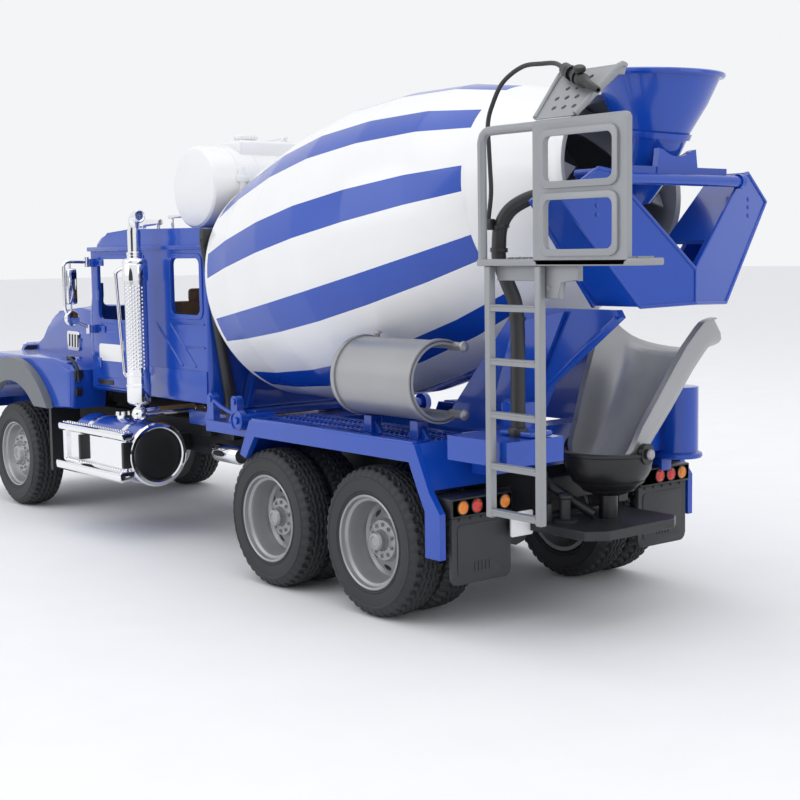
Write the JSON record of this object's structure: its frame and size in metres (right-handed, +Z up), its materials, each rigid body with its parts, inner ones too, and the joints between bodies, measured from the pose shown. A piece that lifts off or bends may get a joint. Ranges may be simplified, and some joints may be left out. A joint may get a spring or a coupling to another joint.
{
  "type": "toy cement mixer truck",
  "caption": "Toy cement mixer truck with a turning striped drum, hopper, swinging chute, tilting hood, opening doors, ladder and rolling wheels.",
  "frame": {"origin": "on the ground under the middle of the truck's overall box", "axes": "+X to the truck's left, +Y to its rear, +Z up"},
  "size_m": [0.165, 0.606, 0.233],
  "materials": {
    "blue": "gloss",
    "white": "gloss",
    "silver": "satin, metallic flake",
    "ladder_grey": "satin",
    "chassis_grey": "fine grain",
    "black": "satin",
    "tyre": "matt",
    "chrome": "chrome plated",
    "tan": "matt",
    "hose": "satin"
  },
  "bodies": {
    "chassis": {"chassis_frame": "chassis_grey", "front_axle": "chassis_grey", "rear_axle_1": "chassis_grey", "rear_axle_2": "chassis_grey", "engine_block": "chassis_grey", "tow_plate": "chassis_grey", "tank_frame": "chassis_grey", "front_bumper": "chrome", "tank_steps_left": "chrome", "tank_steps_right": "chrome", "exhaust_stack_left": "chrome", "exhaust_stack_right": "chrome", "cab_shell": "blue", "fuel_tank_left": "blue", "fuel_tank_right": "blue", "subframe": "blue", "rear_fender_left": "blue", "rear_fender_right": "blue", "front_pedestal": "blue", "rear_pedestal": "blue", "hopper": "blue", "hopper_bridge": "blue", "collector": "blue", "cab_interior": "tan", "splash_guard": "black", "mud_flap_left": "black", "mud_flap_right": "black", "spray_gun": "black", "ladder": "ladder_grey", "platform": "ladder_grey", "spray_shelf": "ladder_grey", "water_tank": "white", "fill_hose": "hose", "spray_hose": "hose"},
    "front_wheel_left": {"front_tyre_left": "tyre", "front_rim_left": "silver"},
    "rear_wheel_1_left": {"dual_tyre_1_left": "tyre", "dual_rim_1_left": "silver"},
    "rear_wheel_2_left": {"dual_tyre_2_left": "tyre", "dual_rim_2_left": "silver"},
    "door_left": {"door_left": "blue"},
    "mirror_left": {"mirror_left": "chrome"},
    "front_wheel_right": {"front_tyre_right": "tyre", "front_rim_right": "silver"},
    "rear_wheel_1_right": {"dual_tyre_1_right": "tyre", "dual_rim_1_right": "silver"},
    "rear_wheel_2_right": {"dual_tyre_2_right": "tyre", "dual_rim_2_right": "silver"},
    "door_right": {"door_right": "blue"},
    "mirror_right": {"mirror_right": "chrome"},
    "drum": {"drum": "white"},
    "hood": {"hood": "blue", "radiator_grille": "chrome", "fender_flare_left": "ladder_grey", "fender_flare_right": "ladder_grey"},
    "steering_wheel": {"steering_wheel": "black"},
    "chute_bowl": {"chute_bowl": "black"},
    "chute": {"chute": "silver"},
    "extension_chute": {"extension_chute": "silver"},
    "tank_lid": {"tank_lid": "white"}
  },
  "joints": [
    {"name": "front_wheel_left_spin", "type": "hinge", "parent": "chassis", "child": "front_wheel_left", "pos_m": [0.0585, -0.23, 0.033], "axis": [1, 0, 0], "continuous": true},
    {"name": "rear_wheel_1_left_spin", "type": "hinge", "parent": "chassis", "child": "rear_wheel_1_left", "pos_m": [0.0774, 0.072, 0.033], "axis": [1, 0, 0], "continuous": true},
    {"name": "rear_wheel_2_left_spin", "type": "hinge", "parent": "chassis", "child": "rear_wheel_2_left", "pos_m": [0.0774, 0.15, 0.033], "axis": [1, 0, 0], "continuous": true},
    {"name": "door_left_hinge", "type": "hinge", "parent": "chassis", "child": "door_left", "pos_m": [0.052, -0.148, 0.12], "axis": [0, 0, -1], "range_deg": [0, 60]},
    {"name": "mirror_left_fold", "type": "hinge", "parent": "door_left", "child": "mirror_left", "pos_m": [0.057, -0.1435, 0.135], "axis": [0, 0, 1], "range_deg": [-20, 60]},
    {"name": "front_wheel_right_spin", "type": "hinge", "parent": "chassis", "child": "front_wheel_right", "pos_m": [-0.0585, -0.23, 0.033], "axis": [1, 0, 0], "continuous": true},
    {"name": "rear_wheel_1_right_spin", "type": "hinge", "parent": "chassis", "child": "rear_wheel_1_right", "pos_m": [-0.0774, 0.072, 0.033], "axis": [1, 0, 0], "continuous": true},
    {"name": "rear_wheel_2_right_spin", "type": "hinge", "parent": "chassis", "child": "rear_wheel_2_right", "pos_m": [-0.0774, 0.15, 0.033], "axis": [1, 0, 0], "continuous": true},
    {"name": "door_right_hinge", "type": "hinge", "parent": "chassis", "child": "door_right", "pos_m": [-0.052, -0.148, 0.12], "axis": [0, 0, 1], "range_deg": [0, 60]},
    {"name": "mirror_right_fold", "type": "hinge", "parent": "door_right", "child": "mirror_right", "pos_m": [-0.057, -0.1435, 0.135], "axis": [0, 0, -1], "range_deg": [-20, 60]},
    {"name": "drum_spin", "type": "hinge", "parent": "chassis", "child": "drum", "pos_m": [0, -0.006, 0.1405], "axis": [0, 0.981, 0.1942], "continuous": true},
    {"name": "hood_tilt", "type": "hinge", "parent": "chassis", "child": "hood", "pos_m": [0, -0.284, 0.052], "axis": [1, 0, 0], "range_deg": [0, 45]},
    {"name": "steering_turn", "type": "hinge", "parent": "chassis", "child": "steering_wheel", "pos_m": [0.024, -0.128, 0.119], "axis": [0, 0.5736, 0.8192], "range_deg": [-120, 120]},
    {"name": "chute_swing", "type": "hinge", "parent": "chassis", "child": "chute_bowl", "pos_m": [0.002, 0.221, 0.073], "axis": [0, 0, -1], "range_deg": [0, 92]},
    {"name": "chute_tilt", "type": "hinge", "parent": "chute_bowl", "child": "chute", "pos_m": [0.002, 0.221, 0.073], "axis": [0.1219, -0.9925, 0], "range_deg": [0, 14]},
    {"name": "extension_chute_lift_off", "type": "slide", "parent": "chassis", "child": "extension_chute", "axis": [0.8, 0, 0.6], "range_m": [0, 0.06]},
    {"name": "tank_lid_lift_off", "type": "slide", "parent": "chassis", "child": "tank_lid", "axis": [0, 0, 1], "range_m": [0, 0.03]}
  ]
}
